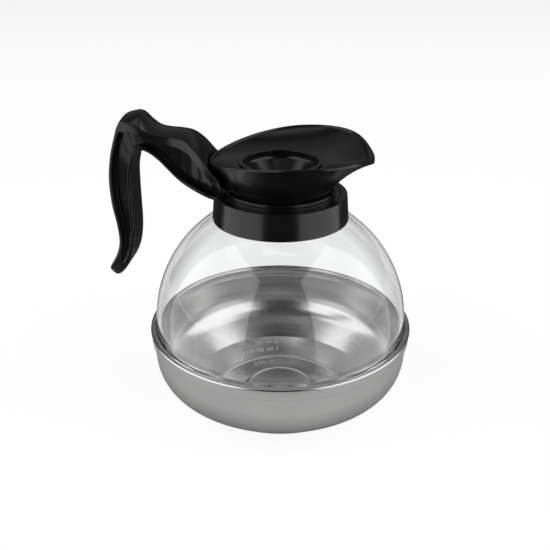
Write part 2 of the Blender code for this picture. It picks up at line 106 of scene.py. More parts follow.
# Marks and beads on the bowl's floor. A row of marks has its radius, its first and last angle
# in degrees and its number of places. A dash's half width is a share of its place, and its
# bevel has a width along the row and one across it.
MARK_ROWS = ((38.0, 97, 126, 13), (48.6, 97, 131, 19), (53.4, 97, 116, 12))
DASH_SHARE = 0.33
DASH_HALF_HEIGHT = 1.2
DASH_BEVEL = (0.224, 0.21)
DASH_SUNK = 0.2
DASH_PROUD = 0.7
FLOOR_BEAD_ROUND = 1.2
FLOOR_BEAD_SUNK = 0.7
FLOOR_BEADS = (("outer_bead", FLOOR_RADIUS - 1.0, SHEET),
               ("inner_bead", DIMPLE_RADIUS - 1.4, SHEET + DIMPLE_HEIGHT))

# Rim gasket and clear dome
GASKET_TOP_Z = RIM_Z - 2.6
GASKET_LIP = 2.1
DOME_RADIUS = 78.0
DOME_CENTRE_Z = 58.7
DOME_WALL = 2.4
DOME_SWELL_Z = DOME_CENTRE_Z - 2.6
NECK_RADIUS = 33.4
NECK_FILLET = 4.0
SNAP_Z = NECK_TOP_Z - 3.3
SNAP_PROUD = 0.5
SNAP_HALF_HEIGHT = 1.0
SNAP_ROOM_HALF_HEIGHT = 1.6
SNAP_ROOM_HALF_FLAT = 0.5

# Collar and seat ring
COLLAR_TOP_RADIUS = 39.4
DOME_CLEARANCE = 0.5
DOME_EDGE_TURN = 0.3
SEAT_DEPTH = 2.0
SEAT_SUNK = 0.2
SEAL_OUTER_INSET = 0.2
SEAL_INNER_INSET = 0.1
HUB_RADIUS = 32.8
HUB_BORE = 31.1
SCREW_RADIUS = 1.3
SCREW_HEAD_ROOM = 2.5
SCREW_WELL = 10

# Funnel. What the spout changes has its size and the angle in degrees over which it fades.
WAIST_RADIUS = 29.6
GROOVE_LOW_Z = SKIRT_END_Z + 2.3
GROOVE_HIGH_Z = SKIRT_END_Z + 5.5
GROOVE_DEPTH = 1.4
RIM_HALF_WIDTH = 47.3
RIM_WIDEST_X = 8.0
RIM_REAR = 49.6
RIM_REAR_POWER = 1.55
RIM_FRONT = 43.5
RIM_FRONT_POWER = 3.0
RIM_LOW_Z = 160.8
RIM_HIGH_Z = 170.2
RIM_RISE_LENGTH = 70
RIM_RISE_POWER = 2.2
RIM_HALVINGS = 40
SPOUT_REACH = (2.6, 19)
SPOUT_DROP = (5.9, 25)
SPOUT_FACE = (1.7, 35)
SPOUT_LIP = (2.1, 24)
SPOUT_CHANNEL = (2.2, 13)
LIP_EDGE = 1.0
LIP_WIDTH = 1.5
LIP_CROWN = 0.1
DISH_EDGE_IN = 0.3
DISH_EDGE_DROP = 1.2
DISH_OUT = 0.5
DISH_UP = 0.1
FLARE_OUT = 0.42
FLARE_UP = 0.62
FLARE_UP_AHEAD = 0.1
FUNNEL_WALL = 1.8
FUNNEL_SIDES = 192
FUNNEL_CROWDING = 0.35
THROAT_RADIUS = 23.4
THROAT_Z = LIP_TOP_Z - 1.1
THROAT_END_Z = THROAT_Z - 8.0
THROAT_SHOULDER = 1.6
DRIP_BORE = 13.2
DRIP_WALL = 1.3
DRIP_LIP = 1.4
DRIP_KNEE_Z = THROAT_Z - 3.8

# Handle. The tip is closed by smaller copies of its last section: their size and reach. A
# point that is in the collar's room is lifted out if that is at most LIFT_LIMIT times the way
# that it would be pushed outwards.
BETWEEN = 6
CROWN_SHARE = 0.97
CROWN_PLACES = (0.8, 0.6, 0.4, 0.2, 0.0)
CORNER_ROUND = 1.6
POCKET_FLANK = 0.9
TIP_COPIES = ((0.86, 0.35), (0.6, 0.7), (0.25, 0.9))
COLLAR_ROOM = 0.4
COLLAR_TOP_ROOM = 0.35
LIFT_LIMIT = 1.5
HUB_ROOM = 0.4
FUNNEL_ROOM = 0.8

# Studio, in metres and degrees. A brightness is the radiance of a surface.
WHITE = (1, 1, 1, 1)
CAMERA_FROM_AXIS = Vector((0.0414, -0.4258, 0.2912))
CAMERA_TURN = (64.44, 0, 6)
LENS = 49.9
TOWARDS_CAMERA = math.atan2(CAMERA_FROM_AXIS.y, CAMERA_FROM_AXIS.x)
SIDE_PANEL_TURN = math.radians(71)
SIDE_PANEL_AWAY = 1.6
SIDE_PANEL_HEIGHT = 1.05
SIDE_PANEL_SIZE = (2.8, 3.9)
SIDE_PANEL_BRIGHTNESS = 1.2
TOP_PANEL_PLACE = Vector((0, -0.02, 1.1))
TOP_PANEL_SIZE = (0.5, 0.3)
TOP_PANEL_BRIGHTNESS = 0.9
BACK_PANEL_PLACE = Vector((0, 1.0, 1.0))
BACK_PANEL_SIZE = (1.6, 1.2)
BACK_PANEL_BRIGHTNESS = 0.14
CARD_SIZE = (0.62, 1.1)
CARD_AWAY = 0.9
CARD_HEIGHT = 0.5
ROOM_GREY = 0.045
BACKDROP_GREY = 0.96
MIRRORED_BACKDROP_SHARE = 0.19
FLOOR_REACH = 6.0
FLOOR_Z = -0.0002
FLOOR_GREY = 0.28
FLOOR_GLOW = 0.86
LIT_SHEET_REACH = 0.18
LIT_SHEET_Z = -0.0003
LIT_SHEET_GREY = 0.78
LIT_SHEET_GLOW = 0.06
# Painted shade on the lit sheet: the radius round the pot within which its colour darkens, and the
# share of its grey that is left at the pot
PAINTED_SHADE_REACH = 0.17
PAINTED_SHADE_SHARE = 0.3


# ---------------------------------------------------------------- materials


class Nodes:
    """The node tree of a material or world, with short ways to add what they share."""

    def __init__(self, owner, shader="Principled BSDF", output="Material Output"):
        owner.use_nodes = True
        self.owner = owner
        self.tree = owner.node_tree
        self.shader = self.tree.nodes[shader]
        self.surface = self.tree.nodes[output].inputs["Surface"]

    def feed(self, socket, value):
        """Links the socket to another one, or sets it to a fixed value."""
        if isinstance(value, bpy.types.NodeSocket):
            self.tree.links.new(value, socket)
        else:
            socket.default_value = value

    def add(self, kind, **inputs):
        node = self.tree.nodes.new("ShaderNode" + kind)
        for key, value in inputs.items():
            self.feed(node.inputs[key.replace("_", " ")], value)
        return node

    def set(self, **inputs):
        for key, value in inputs.items():
            self.feed(self.shader.inputs[key.replace("_", " ")], value)

    def maths(self, operation, *values):
        node = self.add("Math")
        node.operation = operation
        for socket, value in zip(node.inputs, values):
            self.feed(socket, value)
        return node.outputs[0]

    def place(self):
        return self.add("TexCoord").outputs["Object"]

    def noise(self, vector, scale, detail=2.0):
        return self.add("TexNoise", Vector=vector, Scale=scale, Detail=detail).outputs["Fac"]

    def spread(self, factor, low, high):
        """The factor's middle range turned into a value from low to high."""
        return self.add("MapRange", Value=factor, From_Min=0.3, From_Max=0.7,
                        To_Min=low, To_Max=high).outputs["Result"]

    def blend(self, factor, first, second):
        node = self.add("Mix")
        node.data_type = "RGBA"
        self.tree.links.new(factor, node.inputs["Factor"])
        node.inputs[6].default_value = (*first, 1)
        node.inputs[7].default_value = (*second, 1)
        return node.outputs[2]

    def bump(self, height, strength, distance=0.0002):
        node = self.add("Bump", Height=height, Strength=strength, Distance=distance)
        return node.outputs["Normal"]

    def turned_place(self, along, across):
        """Coordinates that stay almost the same round the axis, for marks left by a lathe."""
        split = self.add("SeparateXYZ", Vector=self.place())
        flat = self.add("CombineXYZ", X=split.outputs["X"], Y=split.outputs["Y"])
        length = self.add("VectorMath")
        length.operation = "LENGTH"
        self.tree.links.new(flat.outputs["Vector"], length.inputs[0])
        x = self.maths("MULTIPLY", length.outputs["Value"], across)
        y = self.maths("MULTIPLY", split.outputs["Z"], across)
        z = self.maths("MULTIPLY", split.outputs["X"], along)
        return self.add("CombineXYZ", X=x, Y=y, Z=z).outputs["Vector"]

    def mirrored(self, path):
        """1 for a ray that has been mirrored on its way from the camera, otherwise 0."""
        return self.maths("MINIMUM", path.outputs["Glossy Depth"], 1)

    def show(self, factor, first, second):
        """Mixes two shaders into what the owner shows."""
        mix = self.add("MixShader")
        for socket, value in zip(mix.inputs, (factor, first.outputs[0], second.outputs[0])):
            self.feed(socket, value)
        self.tree.links.new(mix.outputs[0], self.surface)


def material(name):
    return Nodes(bpy.data.materials.new(name))


def spun_steel(name, roughness, anisotropy):
    """Stainless sheet, spun and brushed round the axis."""
    n = material(name)
    lines = n.noise(n.turned_place(9, 800), 1.0, 2.0)
    patches = n.noise(n.place(), 26.0, 3.0)
    tangent = n.add("Tangent")
    tangent.direction_type = "RADIAL"
    tangent.axis = "Z"
    shade = n.blend(n.spread(patches, 0, 1), (0.68, 0.68, 0.675), (0.76, 0.76, 0.75))
    n.set(Base_Color=shade, Metallic=1.0)
    n.set(Roughness=n.spread(lines, *roughness), Normal=n.bump(lines, 0.035, 0.00005))
    n.set(Anisotropic=anisotropy, Tangent=tangent.outputs["Tangent"])
    return n.owner


def clear_plastic():
    """Clear polycarbonate. Shadow rays pass straight through it."""
    n = material("clear_polycarbonate")
    waves = n.noise(n.place(), 34.0, 1.0)
    n.set(Base_Color=(0.965, 0.97, 0.97, 1), Roughness=0.0, IOR=1.5)
    n.set(Transmission_Weight=1.0, Normal=n.bump(waves, 0.06, 0.0006))
    path = n.add("LightPath")
    open_air = n.add("BsdfTransparent", Color=(0.93, 0.935, 0.935, 1))
    n.show(path.outputs["Is Shadow Ray"], n.shader, open_air)
    return n.owner


def black_plastic():
    """Black moulded plastic with a fine, slightly uneven gloss."""
    n = material("black_moulded_plastic")
    grain = n.noise(n.place(), 2400.0, 2.0)
    haze = n.noise(n.place(), 55.0, 4.0)
    shade = n.blend(n.spread(haze, 0, 1), (0.0045, 0.0045, 0.005), (0.008, 0.008, 0.0085))
    n.set(Base_Color=shade)
    n.set(Roughness=n.spread(haze, 0.19, 0.25), Normal=n.bump(grain, 0.03, 0.00003))
    return n.owner


def silicone():
    """Grey silicone rubber, matt and a little translucent."""
    n = material("grey_silicone")
    grain = n.noise(n.place(), 900.0, 3.0)
    n.set(Base_Color=n.blend(n.spread(grain, 0, 1), (0.32, 0.32, 0.31), (0.4, 0.4, 0.39)))
    n.set(Roughness=n.spread(grain, 0.5, 0.62), Normal=n.bump(grain, 0.12, 0.00008))
    n.set(Subsurface_Weight=0.15, Subsurface_Radius=(0.002, 0.002, 0.0018))
    return n.owner


def zinc():
    """Zinc plating on the screws."""
    n = material("zinc_plate")
    spangle = n.noise(n.place(), 1300.0, 3.0)
    n.set(Base_Color=n.blend(n.spread(spangle, 0, 1), (0.6, 0.61, 0.63), (0.7, 0.71, 0.72)))
    n.set(Metallic=1.0, Roughness=n.spread(spangle, 0.28, 0.42))
    return n.owner


def card_black():
    """Black, but clear to a ray that hasn't been mirrored yet."""
    n = material("black_card")
    n.set(Base_Color=(0.004, 0.004, 0.004, 1), Roughness=1.0, Specular_IOR_Level=0.0)
    n.show(n.mirrored(n.add("LightPath")), n.add("BsdfTransparent"), n.shader)
    return n.owner


def pale_floor(name, grey, glow):
    """A pale light table: matt, and lit from within."""
    n = material(name)
    haze = n.noise(n.place(), 3.0, 2.0)
    n.set(Base_Color=n.blend(n.spread(haze, 0, 1), [grey] * 3, [grey * 1.03] * 3))
    n.set(Roughness=0.9, Emission_Color=WHITE, Emission_Strength=glow)
    return n.owner


def painted_shade_sheet(name, grey, glow):
    """The lit sheet, with painted shade: its colour darkens towards the pot that stands on it, in
    place of the shade under the pot.
    """
    n = material(name)
    scaled = n.add("Mapping", Vector=n.place(), Scale=[1 / PAINTED_SHADE_REACH] * 3)
    near = n.add("TexGradient", Vector=scaled.outputs["Vector"])
    near.gradient_type = "SPHERICAL"
    # Painted shade: the colour gets darker near the pot, standing in for the shade under it
    painted_shade_mix = n.spread(near.outputs["Fac"], 0, 1)
    n.set(Base_Color=n.blend(painted_shade_mix, [grey] * 3, [grey * PAINTED_SHADE_SHARE] * 3))
    n.set(Roughness=0.9, Emission_Color=WHITE, Emission_Strength=glow)
    return n.owner


STEEL = spun_steel("spun_steel", (0.18, 0.23), 0.45)
SATIN = spun_steel("pressed_steel", (0.34, 0.44), 0.0)
CLEAR = clear_plastic()
BLACK = black_plastic()
SILICONE = silicone()
ZINC = zinc()


# ---------------------------------------------------------------- mesh tools


def rounded(corners, closed=True, count=4):
    """A profile whose corners (radius, height, fillet) are each drawn as count + 1 points."""
    points = []
    last = len(corners) - 1
    for i, (x, y, fillet) in enumerate(corners):
        if fillet == 0 or (not closed and i in (0, last)):
            points.append((x, y))
            continue
        before = corners[i - 1]
        after = corners[(i + 1) % len(corners)]
        room = min(math.dist((x, y), before[:2]), math.dist((x, y), after[:2])) * FILLET_SHARE
        a = Vector((before[0] - x, before[1] - y)).normalized()
        b = Vector((after[0] - x, after[1] - y)).normalized()
        half = a.angle(b, math.pi) / 2
        wanted = fillet / math.tan(half) if half < NEARLY_STRAIGHT else 0
        reach = min(room, max(wanted, LEAST_FILLET))
        for k in range(count + 1):
            t = k / count
            shift = a * (reach * (1 - t) ** 2) + b * (reach * t**2)
            points.append((x + shift.x, y + shift.y))
    return points


def arc(centre, radius, start, end, step=2.5):
    """Points on an arc in the (radius, height) plane, from one angle in degrees to another."""
    count = max(2, math.ceil(abs(end - start) / step))
    points = []
    for i in range(count + 1):
        angle = math.radians(start + (end - start) * i / count)
        points.append((centre[0] + radius * math.cos(angle), centre[1] + radius * math.sin(angle)))
    return points


def bend(start, control, end, count):
    """Points on a quadratic curve, without its first point."""
    points = []
    for i in range(1, count + 1):
        t = i / count
        a, b, c = (1 - t) ** 2, 2 * t * (1 - t), t**2
        points.append(tuple(a * s + b * m + c * e for s, m, e in zip(start, control, end)))
    return points


def circle(radius, height, steps, x=0, y=0):
    """Points on a level circle round an upright line."""
    angles = [math.tau * i / steps for i in range(steps)]
    return [(x + radius * math.cos(a), y + radius * math.sin(a), height) for a in angles]


def new_object(name, shape, place, finish=None):
    """Makes an object of the bmesh, and frees the bmesh."""
    mesh = bpy.data.meshes.new(name)
    shape.to_mesh(mesh)
    shape.free()
    if finish:
        mesh.materials.append(finish)
    made = bpy.data.objects.new(name, mesh)
    made.location = place
    bpy.context.collection.objects.link(made)
    return made


def pot_object(name, shape, finish=None):
    """Makes an object of a bmesh in millimetres round the pot's axis."""
    bmesh.ops.recalc_face_normals(shape, faces=shape.faces)
    bmesh.ops.scale(shape, vec=(MM, MM, MM), verts=shape.verts)
    return new_object(name, shape, AXIS, finish)


def keep_edges(piece, sharp=SHARP):
    """Keeps edges sharper than an angle in degrees out of the piece's smooth shading."""
    piece.data.set_sharp_from_angle(angle=math.radians(sharp))
    piece.modifiers.new("even_normals", "WEIGHTED_NORMAL").keep_sharp = True


def finished(name, shape, finish, body, node, sharp=SHARP):
    """Turns a bmesh in millimetres round the pot's axis into a piece that stands for a node."""
    piece = pot_object(name, shape, finish)
    piece.data.shade_smooth()
    keep_edges(piece, sharp)
    if node:
        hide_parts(node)
    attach(piece, body)
    return piece


def skin(rings, wrap, shape=None):
    """A bmesh skinned over rings of as many points each: wrapped into a loop, or capped."""
    shape = shape or bmesh.new()
    rows = [[shape.verts.new(point) for point in ring] for ring in rings]
    count = len(rows[0])
    for i in range(len(rows) if wrap else len(rows) - 1):
        lower, upper = rows[i], rows[(i + 1) % len(rows)]
        for j in range(count):
            k = (j + 1) % count
            shape.faces.new((lower[j], lower[k], upper[k], upper[j]))
    if not wrap:
        shape.faces.new(rows[0])
        shape.faces.new(rows[-1])
    return shape


def turned(name, profile, finish, body, node, steps=STEPS):
    """A profile of (radius, height) turned about the axis. Its ends may lie on the axis."""
    shape = bmesh.new()
    rows = []
    for radius, height in profile:
        if radius == 0:
            rows.append([shape.verts.new((0, 0, height))] * steps)
        else:
            rows.append([shape.verts.new(point) for point in circle(radius, height, steps)])
    last = len(rows) - 1 if profile[0][0] == 0 else len(rows)
    for i in range(last):
        lower, upper = rows[i], rows[(i + 1) % len(rows)]
        for j in range(steps):
            k = (j + 1) % steps
            corners = [lower[j], lower[k], upper[k], upper[j]]
            shape.faces.new([v for n, v in enumerate(corners) if v not in corners[:n]])
    return finished(name, shape, finish, body, node)


def trim(piece, cutter):
    """Cuts the cutter out of the piece, keeps the result as its mesh and removes the cutter."""
    piece.modifiers.clear()
    cutting = piece.modifiers.new("cut", "BOOLEAN")
    cutting.operation = "DIFFERENCE"
    cutting.solver = "EXACT"
    cutting.object = cutter
    bpy.context.view_layer.update()
    shown = piece.evaluated_get(bpy.context.evaluated_depsgraph_get())
    piece.data = bpy.data.meshes.new_from_object(shown)
    piece.modifiers.clear()
    keep_edges(piece)
    bpy.data.objects.remove(cutter)


# ---------------------------------------------------------------- bowl and dome


def wall(offset):
    """The bowl's side from the ledge down to the floor, moved inwards by offset."""
    points = []
    turn = 0.0
    while True:
        radius = WALL_RADIUS * math.cos(turn) ** (2 / WALL_SIDE_POWER)
        if radius < CONE_START_RADIUS:
            break
        height = WALL_TOP_Z - WALL_DEPTH * math.sin(turn) ** (2 / WALL_BASE_POWER)
        points.append((radius - offset * math.cos(turn), height + offset * math.sin(turn)))
        turn += WALL_STEP
    knee_radius = CONE_BEND[0] - CONE_BEND_NORMAL[0] * offset
    knee_height = CONE_BEND[1] + CONE_BEND_NORMAL[1] * offset
    slope = math.atan2(knee_height - offset, knee_radius - FLOOR_RADIUS)
    toe = FLOOR_RADIUS - offset * math.tan(slope / 2)
    corners = [(*points[-1], 0), (knee_radius, knee_height, CONE_BEND_ROUND),
               (toe, offset, FLOOR_ROUND), (toe - FLOOR_ROUND, offset, 0)]
    return points + rounded(corners, closed=False, count=8)[1:]


def dimple(offset):
    """The floor's raised middle, from the flat ring round it in to the axis."""
    foot = DIMPLE_RADIUS + DIMPLE_FLANK
    top = offset + DIMPLE_HEIGHT
    corners = [(foot + 2.5, offset, 0), (foot, offset, 2.2)]
    corners += [(DIMPLE_RADIUS - 0.8, top, 2.0), (0, top, 0)]
    return rounded(corners, closed=False, count=6)


def build_bowl():
    ledge = LEDGE_Z + SHEET
    wall_inner = WALL_RADIUS - SHEET
    band_inner = BAND_RADIUS - SHEET
    rim = rounded([(wall_inner, ledge - 2.0, 0), (wall_inner, ledge, 0.5),
                   (band_inner, ledge, 0.5), (band_inner, RIM_Z - 3.0, 0)], closed=False)
    rim += arc((BEAD_RADIUS - CURL, RIM_Z - CURL), CURL, 200, -60, step=13)
    rim += rounded([(BAND_RADIUS, RIM_Z - 2.4, 0), (BAND_RADIUS, LEDGE_Z, 0.6),
                    (WALL_RADIUS, LEDGE_Z, 0.5), (WALL_RADIUS, LEDGE_Z - 0.6, 0)], closed=False)
    profile = dimple(SHEET)[::-1] + wall(SHEET)[::-1] + rim + wall(0) + dimple(0)
    turned("bowl", profile, STEEL, "root", "steel_bowl")


def cone_point(radius, angle, lift):
    """A point on the inside of the bowl's floor or cone, raised off it by lift."""
    path = wall(SHEET) + [(DIMPLE_RADIUS, SHEET)]
    for outer, inner in zip(path, path[1:]):
        if inner[0] <= radius <= outer[0] and outer[0] > inner[0]:
            t = (radius - inner[0]) / (outer[0] - inner[0])
            height = inner[1] + t * (outer[1] - inner[1])
            slope = math.atan2(outer[1] - inner[1], outer[0] - inner[0])
            r = radius - lift * math.sin(slope)
            return Vector((r * math.cos(angle), r * math.sin(angle),
                           height + lift * math.cos(slope)))
    raise ValueError("the floor has no such radius")


def build_level_marks():
    """Three rows of plain raised dashes pressed up through the cone, in place of stamped text."""
    shape = bmesh.new()
    bevel_along, bevel_across = DASH_BEVEL
    for row, (radius, first, last, count) in enumerate(MARK_ROWS):
        for i in range(count):
            # About one place in five stays empty, so that the dashes stand in groups.
            if (i * 7 + row * 3) % 5 == 0:
                continue
            angle = math.radians(first + (last - first) * (i + 0.5) / count)
            half_width = math.radians(last - first) / count * DASH_SHARE
            rings = []
            for inset, lift in ((0, -DASH_SUNK), (0, DASH_PROUD * 0.6), (1, DASH_PROUD)):
                along = half_width - inset * bevel_along / radius
                across = DASH_HALF_HEIGHT - inset * bevel_across
                rings.append([cone_point(radius + edge * across, angle + side * along, lift)
                              for side, edge in ((-1, -1), (1, -1), (1, 1), (-1, 1))])
            skin(rings, False, shape)
    marks = finished("level_marks", shape, SATIN, "root", None, sharp=60)


def build_floor_beads():
    """Low beads rolled round the floor: at the cone's foot and at the raised middle's edge."""
    for name, radius, height in FLOOR_BEADS:
        profile = arc((radius, height - FLOOR_BEAD_SUNK), FLOOR_BEAD_ROUND, 20, 160, step=14)
        bead = turned(name, profile, SATIN, "root", None)


def build_rim_gasket():
    outer = BAND_RADIUS - SHEET - GAP
    inner = FOOT_RADIUS + GAP
    lip = FOOT_RADIUS - GASKET_LIP
    floor = LEDGE_Z + SHEET + GAP
    shelf = FOOT_Z - GAP
    corners = [(outer, GASKET_TOP_Z, 0.12), (outer, floor, 0.25), (lip, floor, 0.3)]
    corners += [(lip, shelf, 0.2), (inner, shelf, 0.2), (inner, GASKET_TOP_Z, 0.12)]
    turned("gasket", rounded(corners, count=3), SILICONE, "root", "rim_gasket")


def neck_shape():
    """The fillet between the dome and its neck: its centre, and its end's angle in degrees."""
    fillet_radius = NECK_RADIUS + NECK_FILLET
    reach = DOME_RADIUS + NECK_FILLET
    height = math.sqrt(reach**2 - fillet_radius**2)
    return (fillet_radius, DOME_CENTRE_Z + height), math.degrees(math.atan2(height, fillet_radius))


def build_dome():
    fillet, lean = neck_shape()
    inner_radius = DOME_RADIUS - DOME_WALL
    bore = NECK_RADIUS - DOME_WALL
    top = [(bore, NECK_TOP_Z - 4, 0), (bore, NECK_TOP_Z, 0.7), (NECK_RADIUS, NECK_TOP_Z, 0.7)]
    top += [(NECK_RADIUS, SNAP_Z + SNAP_HALF_HEIGHT, 0.3)]
    top += [(NECK_RADIUS + SNAP_PROUD, SNAP_Z, 0.3)]
    top += [(NECK_RADIUS, SNAP_Z - SNAP_HALF_HEIGHT, 0.3)]
    top += [(NECK_RADIUS, SNAP_Z - 2 * SNAP_HALF_HEIGHT, 0)]
    outside = rounded(top, closed=False)
    outside += arc(fillet, NECK_FILLET, 180, 180 + lean, step=8)
    outside += arc((0, DOME_CENTRE_Z), DOME_RADIUS, lean, 0)[1:]
    foot = [(DOME_RADIUS, DOME_CENTRE_Z, 0), (DOME_RADIUS + 0.1, DOME_CENTRE_Z - 1.0, 1.2)]
    foot += [(FOOT_RADIUS, DOME_SWELL_Z, 1.2), (FOOT_RADIUS, FOOT_Z, 0.7)]
    foot += [(inner_radius + 0.5, FOOT_Z, 0.8), (inner_radius, FOOT_Z + 2.0, 0)]
    outside += rounded(foot, closed=False)[1:]
    inside = arc((0, DOME_CENTRE_Z), inner_radius, 0, lean)
    inside += arc(fillet, NECK_FILLET + DOME_WALL, 180 + lean, 180, step=8)[1:]
    turned("dome", outside + inside, CLEAR, "root", "clear_dome", steps=DOME_STEPS)


# ---------------------------------------------------------------- collar and rings


def build_collar():
    fillet, lean = neck_shape()
    bore = NECK_RADIUS + GAP
    room = bore + SNAP_PROUD
    counterbore = SEAT_FLANGE_RADIUS + GAP
    seat = COLLAR_TOP_Z - SEAT_DEPTH
    over_dome = DOME_RADIUS + DOME_CLEARANCE
    rise = math.sqrt(over_dome**2 - COLLAR_BASE_RADIUS**2)
    end = math.degrees(math.atan2(rise, COLLAR_BASE_RADIUS))
    under = arc((0, DOME_CENTRE_Z), over_dome, end + DOME_EDGE_TURN, lean)
    under += arc(fillet, NECK_FILLET - DOME_CLEARANCE, 180 + lean, 180, step=8)[1:]
    inside = [(bore, SNAP_Z - SNAP_ROOM_HALF_HEIGHT, 0.2)]
    inside += [(room, SNAP_Z - SNAP_ROOM_HALF_FLAT, 0.2)]
    inside += [(room, SNAP_Z + SNAP_ROOM_HALF_FLAT, 0.2)]
    inside += [(bore, SNAP_Z + SNAP_ROOM_HALF_HEIGHT, 0.2)]
    inside += [(bore, seat, 0.3), (counterbore, seat, 0.2), (counterbore, COLLAR_TOP_Z, 0.3)]
    outside = [(COLLAR_TOP_RADIUS, COLLAR_TOP_Z, 1.1)]
    outside += [(COLLAR_BASE_RADIUS, DOME_CENTRE_Z + rise, 0.45), (*under[0], 0)]
    profile = under + rounded([(*under[-1], 0)] + inside + outside, closed=False)[1:-1]
    collar = turned("collar", profile, BLACK, "root", "neck_collar")
    trim(collar, screw_rooms("collar_wells"))


def screw_rooms(name):
    """The two stepped holes that hold the handle's screws, for cutting."""
    shape = bmesh.new()
    for node in SCREWS:
        low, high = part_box(node)
        centre = ((low + high) / 2 - AXIS) / MM
        head = (high.y - low.y) / 2 / MM + GAP
        bore = SCREW_RADIUS + GAP
        base = low.z / MM
        steps = ((head, base - SCREW_WELL), (head, base + SCREW_HEAD_ROOM),
                 (bore, base + SCREW_HEAD_ROOM), (bore, high.z / MM + GAP))
        rings = [circle(radius, height, SCREW_STEPS, centre.x, centre.y)
                 for radius, height in steps]
        skin(rings, False, shape)
    return pot_object(name, shape)


def build_neck_seal():
    top = COLLAR_TOP_Z - SEAT_DEPTH
    base = NECK_TOP_Z + GAP
    outer = NECK_RADIUS - SEAL_OUTER_INSET
    inner = NECK_RADIUS - DOME_WALL + SEAL_INNER_INSET
    corners = [(outer, top, 0.15), (outer, base, 0.15), (inner, base, 0.15), (inner, top, 0.15)]
    turned("top_seal", rounded(corners, count=2), SILICONE, "root", "neck_seal")


def build_seat_ring():
    top = COLLAR_TOP_Z - SEAT_SUNK
    corners = [(HUB_RADIUS, HUB_TOP_Z, 0.7), (HUB_RADIUS, top, 0.35)]
    corners += [(SEAT_FLANGE_RADIUS, top, 0.3), (SEAT_FLANGE_RADIUS, SEAT_BASE_Z, 0.2)]
    corners += [(HUB_BORE, SEAT_BASE_Z, 0.2), (HUB_BORE, HUB_TOP_Z, 0.45)]
    turned("hub_ring", rounded(corners), BLACK, "root", "seat_ring")


# ---------------------------------------------------------------- funnel


def at_spout(angle, effect):
    """An effect that has its full size at the spout and fades with the angle away from it."""
    size, spread = effect
    return size * math.exp(-((math.remainder(angle, math.tau) / math.radians(spread)) ** 2))


def rim_radius(angle):
    """Where the rim's egg-shaped outline meets a ray from the axis, with the spout's beak."""
    low, high = WAIST_RADIUS, RIM_REAR + RIM_HALF_WIDTH
    for _ in range(RIM_HALVINGS):
        radius = (low + high) / 2
        along = radius * math.cos(angle) - RIM_WIDEST_X
        across = radius * math.sin(angle) / RIM_HALF_WIDTH
        if along < 0:
            reach = (-along / RIM_REAR) ** RIM_REAR_POWER
        else:
            reach = (along / RIM_FRONT) ** RIM_FRONT_POWER
        if reach + across**2 > 1:
            high = radius
        else:
            low = radius
    return low + at_spout(angle, SPOUT_REACH)


def rim_height(angle):
    """The rim's height: it rises from the rear to the front and drops at the spout."""
    along = rim_radius(angle) * math.cos(angle)
    rise = min(1.0, (along + RIM_REAR - RIM_WIDEST_X) / RIM_RISE_LENGTH)
    height = RIM_LOW_Z + (RIM_HIGH_Z - RIM_LOW_Z) * (1 - (1 - rise) ** RIM_RISE_POWER)
    return height - at_spout(angle, SPOUT_DROP)


def flare(angle, inset, count=14):
    """The funnel's outer side from its waist up to its rim, moved inwards by inset."""
    radius = rim_radius(angle) - inset
    height = rim_height(angle) - LIP_EDGE - at_spout(angle, SPOUT_FACE)
    waist = (WAIST_RADIUS - inset, HUB_TOP_Z)
    up = FLARE_UP + FLARE_UP_AHEAD * math.cos(angle)
    control = (waist[0] + FLARE_OUT * (radius - waist[0]), waist[1] + up * (height - waist[1]))
    return [waist] + bend(waist, control, (radius, height), count)


def funnel_section(angle):
    """The funnel's wall in the half-plane at one angle: skirt, flare, lip, dish, throat, hollow."""
    radius = rim_radius(angle)
    height = rim_height(angle)
    groove = WAIST_RADIUS - GROOVE_DEPTH
    corners = [(groove - FUNNEL_WALL, SKIRT_END_Z, 0.4), (WAIST_RADIUS, SKIRT_END_Z, 0.6)]
    corners += [(WAIST_RADIUS, GROOVE_LOW_Z, 0.25), (groove, GROOVE_LOW_Z, 0.2)]
    corners += [(groove, GROOVE_HIGH_Z, 0.2), (WAIST_RADIUS, GROOVE_HIGH_Z, 0.25)]
    section = rounded(corners + [(WAIST_RADIUS, GROOVE_HIGH_Z + 2, 0)], closed=False, count=3)
    section += flare(angle, 0)
    lip = LIP_WIDTH + at_spout(angle, SPOUT_LIP)
    shoulder = height - LIP_CROWN
    corners = [(radius, height - LIP_EDGE, 0), (radius, shoulder, 0.55)]
    corners += [(radius - lip * 0.5, height, 3.0), (radius - lip, shoulder, 0.4)]
    edge = (radius - lip - DISH_EDGE_IN, height - DISH_EDGE_DROP - at_spout(angle, SPOUT_CHANNEL))
    section += rounded(corners + [(*edge, 0)], closed=False, count=3)[1:]
    throat = (THROAT_RADIUS + THROAT_SHOULDER, THROAT_Z - 0.1)
    control = (throat[0] + DISH_OUT * (edge[0] - throat[0]),
               throat[1] + DISH_UP * (edge[1] - throat[1]))
    section += bend(edge, control, throat, 12)
    # The hollow between the throat and the flare follows the flare's inner side to the waist.
    outer = THROAT_RADIUS + FUNNEL_WALL
    under = flare(angle, FUNNEL_WALL, 12)
    corners = [(*throat, 0), (THROAT_RADIUS, throat[1], 0.3), (THROAT_RADIUS, THROAT_END_Z, 0.3)]
    corners += [(outer, THROAT_END_Z, 0.3), (outer, THROAT_Z - 3.0, 0.4)]
    corners += [(*under[7], 0.6), (*under[3], 0)]
    section += rounded(corners, closed=False, count=3)[1:]
    section += [under[1], under[0], (groove - FUNNEL_WALL, GROOVE_HIGH_Z + 1.5)]
    return section


def build_funnel():
    """The funnel's sections stand closer together at the spout."""
    rings = []
    for i in range(FUNNEL_SIDES):
        t = math.tau * (i + 0.5) / FUNNEL_SIDES - math.pi
        angle = t - FUNNEL_CROWDING * math.sin(t)
        rings.append([(r * math.cos(angle), r * math.sin(angle), z)
                      for r, z in funnel_section(angle)])
    finished("funnel", skin(rings, True), BLACK, "funnel", "pouring_funnel", sharp=42)


